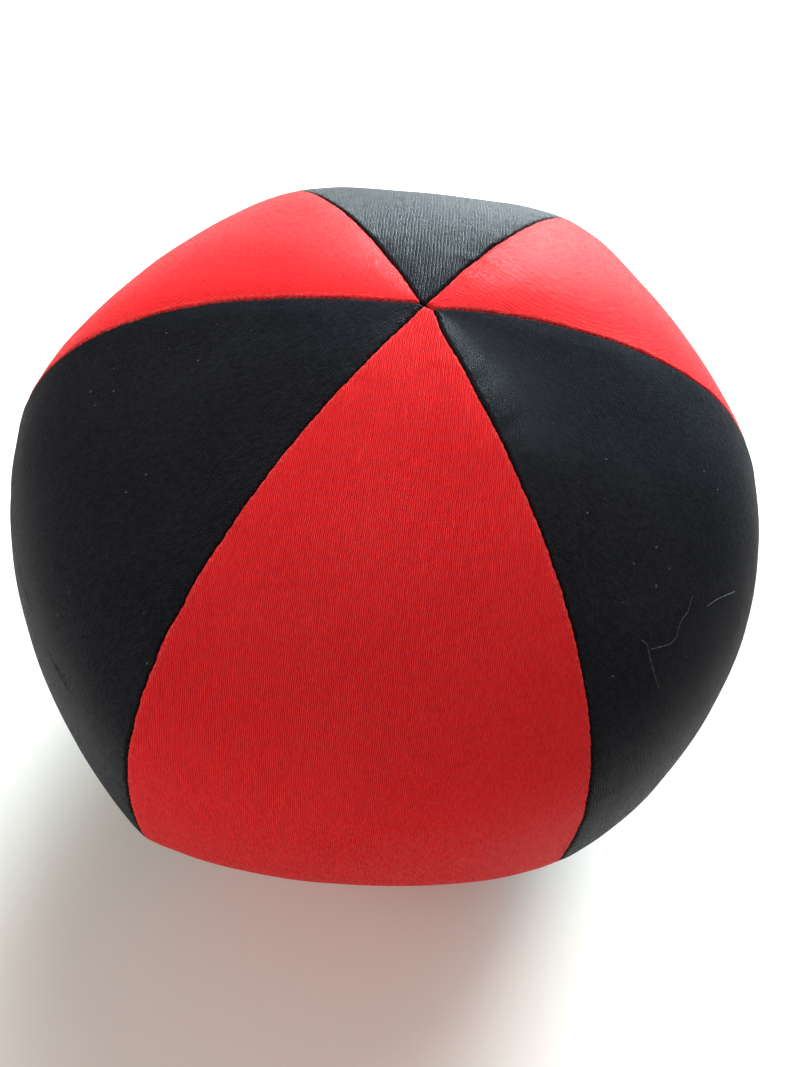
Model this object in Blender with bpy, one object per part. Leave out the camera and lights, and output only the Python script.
"""Bean-filled juggling ball, sewn from six gore panels of padded jersey.

Two halves of three gores are sewn first (two seams each), then one long seam
joins the halves through both poles, apart from a short stretch that is closed
by hand after the filling has gone in. The ball is modelled at rest on a flat
surface: it has sagged, so it is lower than it is wide and its base is flat.

Units are metres. +Z is up through the poles, +X is right, -Y is front, and the
origin is the centre of the flat base.

A place on the outer surface is given by two angles: `polar`, from 0 at the
upper pole to pi at the lower one, and `azimuth`, about +Z from a seam. One gore
spans azimuths 0 to STEP, and the others are turned copies of it.
"""

import math

import bmesh
import bpy
import numpy as np
from mathutils import Matrix, Vector

MM = 0.001

# ---- ball shape ----
CORNER_R = 38.0 * MM        # widest radius, measured to a seam
TOP_H = 32.8 * MM           # widest level to the upper pole
BASE_H = 22.2 * MM          # widest level down to the flat base
UNDER_H = 25.8 * MM         # half-height of the ellipse the underside follows
PANELS = 6                  # gores round the ball
TOP_RADIUS_POWER = 0.897    # shape of the upper profile
TOP_Z_POWER = 0.744
UNDER_RADIUS_POWER = 1.083
BASE_BLEND = (0.85, 1.05)   # where the underside leaves its ellipse for the base
ROUND_TOP, ROUND_MID, ROUND_BASE = 0.77, 0.62, 0.34   # 0 flat gore, 1 round gore
STEP = 2 * math.pi / PANELS
MIDDLE = STEP / 2           # azimuth of a gore's middle

SECTIONS = 20               # steps between cross-sections from pole to pole
EVEN_SHARE = 0.55           # 1 spaces the sections evenly, 0 crowds them at the poles
DELTA = 1e-4                # angle step for measuring slopes
SHARP_ANGLE = math.radians(40)

# ---- gore fabric ----
FABRIC_T = 1.6 * MM         # padded jersey, face and backing together
ALLOWANCE_T = 1.2 * MM      # the same fabric squeezed in a seam allowance
ALLOWANCE_D = 5.5 * MM      # how far an allowance reaches inwards
EDGE_R = 0.9 * MM           # rounding where a gore turns into its allowance
EDGE_MID = 0.29             # share of that rounding at its middle point
HALF_GAP = 0.15 * MM        # half of the gap left between two gores
TIP_R = 1.3 * MM            # how near the gore tips come to the pole axis
FOLD_D = 0.35 * MM          # inner fold's start, below the fabric's inner face
FOLD_X = 0.25 * MM          # inner fold's middle, beside the allowance
FOLD_END_X = 1.0 * MM       # inner fold's end, beside the allowance
GORE_SHARES = (0.3, 0.65, 1.0)   # points from the rounded edge to the gore's middle

# Limits that take over where a gore narrows towards a pole.
ALLOWANCE_T_SHARE = 0.36    # of the gore's half-width
EDGE_R_SHARE = 0.5          # of the gore's half-width
FOLD_SHARE = 0.12           # of the half-width left beside the allowance
FOLD_END_SHARE = 0.4        # of the half-width left beside the allowance
AXIS_ALLOWANCE_D = 1.5 * MM   # allowance depth, as it would be on the axis
ALLOWANCE_D_RATE = 1.2      # growth of that depth with radius

# ---- threads ----
THREAD_R = 0.2 * MM         # machine thread
THREAD_SIDES = 3
THREAD_CLEAR = 0.3 * MM     # thread to fabric
THREAD_D = FABRIC_T + 0.5 * MM + THREAD_R   # depth of a machine thread
STITCH = 3.0 * MM           # machine stitch length
STITCH_WAVE = 0.12 * MM     # half the sideways swing of each stitch
THREAD_END_R = 6.2 * MM     # a gore seam's threads stop this far from the axis
POLE_THREAD_D = 5.2 * MM    # depth of the joining threads under the gore tips
POLE_DIP = (3.4 * MM, 8.5 * MM)   # radii between which they go down to it
MIN_SPACING = 0.9 * MM      # nearer points of a joining thread are left out
CLOSING_FROM, CLOSING_TO = 1.80, 2.50   # hand-sewn stretch, as polar angles
CLOSING_MARGIN = 0.06       # from that stretch to the joining threads' ends
CLOSING_R = 0.16 * MM       # hand-sewn thread
CLOSING_SIDES = 4
CLOSING_PITCH = 2.2 * MM
CLOSING_X = 0.5 * MM        # reach of a hand stitch to each side
CLOSING_LIFT = 0.32 * MM    # hand stitches above the seam line
PATH_SAMPLES = 600          # steps used to measure length along a seam
TUBE_UP = (0.31, 0.17, 0.93)   # starting direction for a tube's cross-section

# ---- filling ----
FILL_GAP = 0.4 * MM         # filling to fabric at rest
FILL_TRAVEL = 2.5 * MM      # headspace that the filling can shift through
FILL_END_R = 4.5 * MM       # sections with a smaller seam radius are left out
GROOVE_D = 6.1 * MM         # how far the filling stands back from a seam
GROOVE_FLOOR = 2.8 * MM     # half-width of that groove's floor
GROOVE_MOUTH = 4.2 * MM     # half-width at its mouth
FLOOR_SHARE, MOUTH_SHARE = 0.45, 0.8   # their limits, of the gore's half-width
POLE_CLEAR = (8.5 * MM, 12.5 * MM)   # the grooves run together inside this

# ---- places, as numbers of steps round from +X ----
GORES = (
    ("panel_red_rear_right", "red"),
    ("panel_black_rear", "black"),
    ("panel_red_rear_left", "red"),
    ("panel_black_left", "black"),
    ("panel_red_front", "red"),
    ("panel_black_right", "black"),
)
GORE_SEAMS = (("right", 0), ("rear", 2), ("left", 3), ("front", 5))
CLOSING_SEAM = 1            # the side of the long seam with the hand-sewn stretch
THREAD_SIGNS = (("needle", 1), ("bobbin", -1))   # which side of its seam each is on

# ---- colours and roughness ----
FINISHES = {
    "red": ("jersey_red", (0.58, 0.016, 0.026), 0.85),
    "black": ("jersey_black", (0.012, 0.012, 0.015), 0.85),
    "black_thread": ("thread_black", (0.02, 0.02, 0.022), 0.6),
    "red_thread": ("thread_red", (0.42, 0.012, 0.02), 0.6),
    "grain": ("grain_filling", (0.62, 0.43, 0.2), 0.8),
}


# ---- the ball's outer surface ----
def smooth_step(low, high, value):
    t = min(1.0, max(0.0, (value - low) / (high - low)))
    return t * t * (3 - 2 * t)


def profile(polar):
    """Distance from the axis and height of a seam."""
    sine, cosine = math.sin(polar), math.cos(polar)
    if cosine >= 0:
        radius = CORNER_R * sine ** TOP_RADIUS_POWER
        return radius, BASE_H + TOP_H * cosine ** TOP_Z_POWER
    share = sine ** UNDER_RADIUS_POWER
    low, high = BASE_BLEND
    flat = (low + high) / 2
    unit = BASE_H / flat
    drop = UNDER_H / unit * math.sqrt(1 - share * share)
    if drop > high:
        drop = flat
    elif drop > low:
        drop -= (drop - low) ** 2 / (2 * (high - low))
    return CORNER_R * share, BASE_H - unit * drop


def roundness(polar):
    """Quadratic in height through the top, middle and base values."""
    cosine = math.cos(polar)
    slope = (ROUND_TOP - ROUND_BASE) / 2
    bend = (ROUND_TOP + ROUND_BASE) / 2 - ROUND_MID
    return ROUND_MID + slope * cosine + bend * cosine * cosine


def surface(polar, azimuth):
    """A point of the first gore's outer surface."""
    seam_radius, z = profile(polar)
    chord = math.cos(MIDDLE) / math.cos(azimuth - MIDDLE)
    radius = seam_radius * (chord + roundness(polar) * (1 - chord))
    return Vector((radius * math.cos(azimuth), radius * math.sin(azimuth), z))


def normal(polar, azimuth):
    """Outward normal of the first gore."""
    along = surface(polar + DELTA, azimuth) - surface(polar - DELTA, azimuth)
    across = surface(polar, azimuth + DELTA) - surface(polar, azimuth - DELTA)
    return along.cross(across).normalized()


def seam_normal(polar):
    """Outward normal in the plane of the seam at azimuth 0."""
    radius_0, z_0 = profile(polar - DELTA)
    radius_1, z_1 = profile(polar + DELTA)
    return Vector((z_0 - z_1, 0, radius_1 - radius_0)).normalized()


def section_angles():
    """Polar angles of the cross-sections, closer together near the poles."""
    tip = TIP_R / CORNER_R
    first = math.asin(tip ** (1 / TOP_RADIUS_POWER))
    last = math.pi - math.asin(tip ** (1 / UNDER_RADIUS_POWER))
    polars = []
    for i in range(SECTIONS + 1):
        even = i / SECTIONS
        crowded = 0.5 - 0.5 * math.cos(math.pi * even)
        share = EVEN_SHARE * even + (1 - EVEN_SHARE) * crowded
        polars.append(first + (last - first) * share)
    return polars


# ---- gores ----
def near_seam(polar, x, depth):
    """Point x beside the plane of the seam at azimuth 0, depth below the surface."""
    azimuth = math.asin(x / profile(polar)[0])
    blend = smooth_step(HALF_GAP, HALF_GAP + 2 * EDGE_R, x)
    outward = normal(polar, azimuth) * blend + seam_normal(polar) * (1 - blend)
    point = surface(polar, azimuth) - outward.normalized() * depth
    point.y = x
    return point


def half_gore_section(polar):
    """Pairs of outer and inner points, from seam 0 to the gore's middle."""
    radius = profile(polar)[0]
    half_width = radius * math.sin(MIDDLE) - HALF_GAP
    thick = min(ALLOWANCE_T, ALLOWANCE_T_SHARE * half_width)
    deep = min(ALLOWANCE_D, AXIS_ALLOWANCE_D + ALLOWANCE_D_RATE * radius)
    edge = min(EDGE_R, EDGE_R_SHARE * half_width)
    room = half_width - thick
    fold_start = HALF_GAP + thick
    fold_mid = fold_start + min(FOLD_X, FOLD_SHARE * room)
    fold_end = fold_start + min(FOLD_END_X, FOLD_END_SHARE * room)

    # Columns: outer x, outer depth, inner x, inner depth.
    stations = (
        (HALF_GAP, deep, fold_start, deep),
        (HALF_GAP, edge, fold_start, FABRIC_T + FOLD_D),
        (HALF_GAP + EDGE_MID * edge, EDGE_MID * edge, fold_mid, FABRIC_T),
        (HALF_GAP + edge, 0.0, fold_end, FABRIC_T),
    )
    pairs = [
        (near_seam(polar, outer_x, outer_d), near_seam(polar, inner_x, inner_d))
        for outer_x, outer_d, inner_x, inner_d in stations
    ]
    start = math.asin(max(HALF_GAP + edge, fold_end) / radius)
    for share in GORE_SHARES:
        azimuth = start + (MIDDLE - start) * share
        point = surface(polar, azimuth)
        pairs.append((point, point - normal(polar, azimuth) * FABRIC_T))
    return pairs


def mirrored(point):
    """Reflection in the gore's middle plane."""
    cosine, sine = math.cos(STEP), math.sin(STEP)
    return Vector((
        point.x * cosine + point.y * sine,
        point.x * sine - point.y * cosine,
        point.z,
    ))


def gore_mesh(polars):
    """One gore with its two seam allowances, as a closed sheet of fabric."""
    bm = bmesh.new()
    outer, inner = [], []
    for polar in polars:
        pairs = half_gore_section(polar)
        pairs += [(mirrored(out), mirrored(back)) for out, back in reversed(pairs[:-1])]
        outer.append([bm.verts.new(out) for out, _ in pairs])
        inner.append([bm.verts.new(back) for _, back in pairs])
    last = len(outer[0]) - 1
    for i in range(len(polars) - 1):
        for j in range(last):
            bm.faces.new((outer[i][j], outer[i + 1][j], outer[i + 1][j + 1], outer[i][j + 1]))
            bm.faces.new((inner[i][j], inner[i][j + 1], inner[i + 1][j + 1], inner[i + 1][j]))
        for j in (0, last):
            bm.faces.new((outer[i][j], inner[i][j], inner[i + 1][j], outer[i + 1][j]))
    for i in (0, -1):
        for j in range(last):
            bm.faces.new((outer[i][j], outer[i][j + 1], inner[i][j + 1], inner[i][j]))
    return finished(bm, "gore")


# ---- places along a seam ----
# A path lists the seam's point and outward normal at each cross-section. A
# position on it is a section number, with a fraction between sections.
def seam_path(polars):
    path = []
    for polar in polars:
        radius, z = profile(polar)
        path.append((Vector((radius, 0, z)), seam_normal(polar)))
    return path


def path_at(path, position):
    """Seam point and normal at a position."""
    i = min(len(path) - 2, max(0, int(position)))
    (point_0, normal_0), (point_1, normal_1) = path[i:i + 2]
    share = position - i
    return point_0.lerp(point_1, share), normal_0.lerp(normal_1, share)


def beside_seam(path, position, x, depth):
    """Point x beside the seam plane and depth below the seam line."""
    point, outward = path_at(path, position)
    point = point - outward * depth
    point.y = x
    return point


def turned(point, angle):
    return Matrix.Rotation(angle, 3, "Z") @ point


def positions_at_radius(path, target):
    """The two positions, upper then lower, where the seam is target from the axis."""
    found = []
    radii = [point.x for point, _ in path]
    for i, (start, end) in enumerate(zip(radii, radii[1:])):
        if min(start, end) <= target <= max(start, end):
            found.append(i + (target - start) / (end - start))
    return found


def position_of_angle(polars, polar):
    return np.interp(polar, polars, range(len(polars)))


def spaced(path, start, end, pitch):
    """Positions from start to end, about pitch apart along the seam."""
    samples = np.linspace(start, end, PATH_SAMPLES + 1)
    points = [path_at(path, position)[0] for position in samples]
    lengths = [0.0]
    for point, following in zip(points, points[1:]):
        lengths.append(lengths[-1] + (following - point).length)
    count = round(lengths[-1] / pitch)
    return np.interp(np.linspace(0.0, lengths[-1], count + 1), lengths, samples)


# ---- threads ----
def tube(points, radius, sides, name):
    """A closed tube along the points, with a flat cap at each end."""
    bm = bmesh.new()
    rings = []
    up = Vector(TUBE_UP)
    for i, point in enumerate(points):
        ahead = points[min(i + 1, len(points) - 1)] - points[max(i - 1, 0)]
        ahead.normalize()
        right = ahead.cross(up).normalized()
        up = right.cross(ahead).normalized()
        ring = []
        for k in range(sides):
            angle = 2 * math.pi * k / sides
            offset = (right * math.cos(angle) + up * math.sin(angle)) * radius
            ring.append(bm.verts.new(point + offset))
        rings.append(ring)
    bridge(bm, rings)
    bm.faces.new(rings[0])
    bm.faces.new(list(reversed(rings[-1])))
    return finished(bm, name)


def thread_x(sign, j):
    """Sideways place of a machine thread, farther out at every other point."""
    nearest = HALF_GAP + ALLOWANCE_T + THREAD_CLEAR + THREAD_R
    return sign * (nearest + 2 * STITCH_WAVE * (j % 2))


def gore_seam_thread(path, sign, name):
    """Needle or bobbin thread of one seam between two gores of a half."""
    start, end = positions_at_radius(path, THREAD_END_R)
    points = [
        beside_seam(path, position, thread_x(sign, j), THREAD_D)
        for j, position in enumerate(spaced(path, start, end, STITCH / 2))
    ]
    return tube(points, THREAD_R, THREAD_SIDES, name)


def joining_thread(path, polars, sign, name):
    """Thread of the long seam: up one side, over, down, and under to the opening."""
    last = len(path) - 1
    opening_top = position_of_angle(polars, CLOSING_FROM - CLOSING_MARGIN)
    opening_base = position_of_angle(polars, CLOSING_TO + CLOSING_MARGIN)
    # Columns: start, end, azimuth, and the sign that keeps x on the same side.
    runs = (
        (opening_top, 0.0, 0.0, 1),
        (0.0, last, math.pi, -1),
        (last, opening_base, 0.0, 1),
    )
    points = []
    for start, end, azimuth, way in runs:
        for position in spaced(path, start, end, STITCH / 2):
            j = len(points)
            away = smooth_step(*POLE_DIP, path_at(path, position)[0].x)
            x = thread_x(sign, j) * away + thread_x(sign, 1) * (1 - away)
            depth = POLE_THREAD_D + (THREAD_D - POLE_THREAD_D) * away
            points.append(turned(beside_seam(path, position, way * x, depth), azimuth))
    kept = [points[0]]
    for point in points[1:]:
        if (point - kept[-1]).length > MIN_SPACING:
            kept.append(point)
    return tube(kept, THREAD_R, THREAD_SIDES, name)


def closing_thread(path, polars):
    """Hand-sewn stitches from gore edge to gore edge, in the seam's groove."""
    start = position_of_angle(polars, CLOSING_FROM)
    end = position_of_angle(polars, CLOSING_TO)
    points = [
        beside_seam(path, position, CLOSING_X if j % 2 else -CLOSING_X, -CLOSING_LIFT)
        for j, position in enumerate(spaced(path, start, end, CLOSING_PITCH / 2))
    ]
    return tube(points, CLOSING_R, CLOSING_SIDES, "closing")


# ---- filling ----
def fill_section(polar):
    """Points of the filling under one gore, from seam 0 to just short of the next."""
    radius = profile(polar)[0]
    half_width = radius * math.sin(MIDDLE)
    floor = math.asin(min(GROOVE_FLOOR, FLOOR_SHARE * half_width) / radius)
    mouth = math.asin(min(GROOVE_MOUTH, MOUTH_SHARE * half_width) / radius)
    pole_groove = 1 - smooth_step(*POLE_CLEAR, radius)
    # Columns: azimuth, and 1 on a groove's floor or 0 outside the groove.
    stations = (
        (0.0, 1), (floor, 1), (mouth, 0),
        (MIDDLE, 0), (STEP - mouth, 0), (STEP - floor, 1),
    )
    points = []
    for azimuth, groove in stations:
        outward = normal(polar, azimuth) if azimuth else seam_normal(polar)
        depth = FABRIC_T + FILL_GAP
        depth += max(groove, pole_groove) * (GROOVE_D - depth)
        depth += FILL_TRAVEL * max(0.0, outward.z)
        points.append(surface(polar, azimuth) - outward * depth)
    return points


def fill_mesh(polars):
    """The loose filling as one mass, with a groove round each seam allowance."""
    bm = bmesh.new()
    rings = []
    for polar in polars:
        if profile(polar)[0] > FILL_END_R:
            section = fill_section(polar)
            rings.append([
                bm.verts.new(turned(point, STEP * k))
                for k in range(PANELS) for point in section
            ])
    bridge(bm, rings)
    for ring in (rings[0], rings[-1]):
        level = sum(vert.co.z for vert in ring) / len(ring)
        centre = bm.verts.new((0, 0, level))
        for k in range(len(ring)):
            bm.faces.new((ring[k - 1], ring[k], centre))
    return finished(bm, "filling")


# ---- meshes, materials and objects ----
def bridge(bm, rings):
    """Quads between each closed ring and the next."""
    for ring, following in zip(rings, rings[1:]):
        for k in range(len(ring)):
            bm.faces.new((ring[k - 1], ring[k], following[k], following[k - 1]))


def finished(bm, name):
    """Smooth-shaded mesh with an empty slot for each object's own material."""
    bmesh.ops.recalc_face_normals(bm, faces=bm.faces)
    mesh = bpy.data.meshes.new(name)
    bm.to_mesh(mesh)
    bm.free()
    for polygon in mesh.polygons:
        polygon.use_smooth = True
    mesh.set_sharp_from_angle(angle=SHARP_ANGLE)
    mesh.materials.append(None)
    return mesh


def material(name, colour, roughness):
    made = bpy.data.materials.new(name)
    made.use_nodes = True
    shader = made.node_tree.nodes["Principled BSDF"]
    shader.inputs["Base Color"].default_value = (*colour, 1.0)
    shader.inputs["Roughness"].default_value = roughness
    shader.inputs["Metallic"].default_value = 0.0
    return made


def place(name, mesh, finish, parent, steps=0):
    """Object turned by a number of gore steps; copies may share one mesh."""
    obj = bpy.data.objects.new(name, mesh)
    bpy.context.scene.collection.objects.link(obj)
    obj.material_slots[0].link = "OBJECT"
    obj.material_slots[0].material = finish
    obj.parent = parent
    obj.rotation_euler = (0, 0, STEP * steps)


def empty(name):
    obj = bpy.data.objects.new(name, None)
    bpy.context.scene.collection.objects.link(obj)
    return obj


def main():
    for obj in list(bpy.data.objects):
        bpy.data.objects.remove(obj, do_unlink=True)

    finishes = {key: material(*values) for key, values in FINISHES.items()}
    black_thread = finishes["black_thread"]
    shell_axis = empty("shell_axis")
    fill_axis = empty("fill_axis")
    polars = section_angles()
    path = seam_path(polars)

    gore = gore_mesh(polars)
    for steps, (name, colour) in enumerate(GORES):
        place(name, gore, finishes[colour], shell_axis, steps)

    for role, sign in THREAD_SIGNS:
        mesh = gore_seam_thread(path, sign, f"gore_seam_{role}")
        for side, steps in GORE_SEAMS:
            place(f"seam_{side}_{role}_thread", mesh, black_thread, shell_axis, steps)
        mesh = joining_thread(path, polars, sign, f"joining_{role}")
        place(f"joining_seam_{role}_thread", mesh, black_thread, shell_axis, CLOSING_SEAM)

    place("closing_stitch_thread", closing_thread(path, polars), finishes["red_thread"],
          shell_axis, CLOSING_SEAM)
    place("filling", fill_mesh(polars), finishes["grain"], fill_axis)


main()
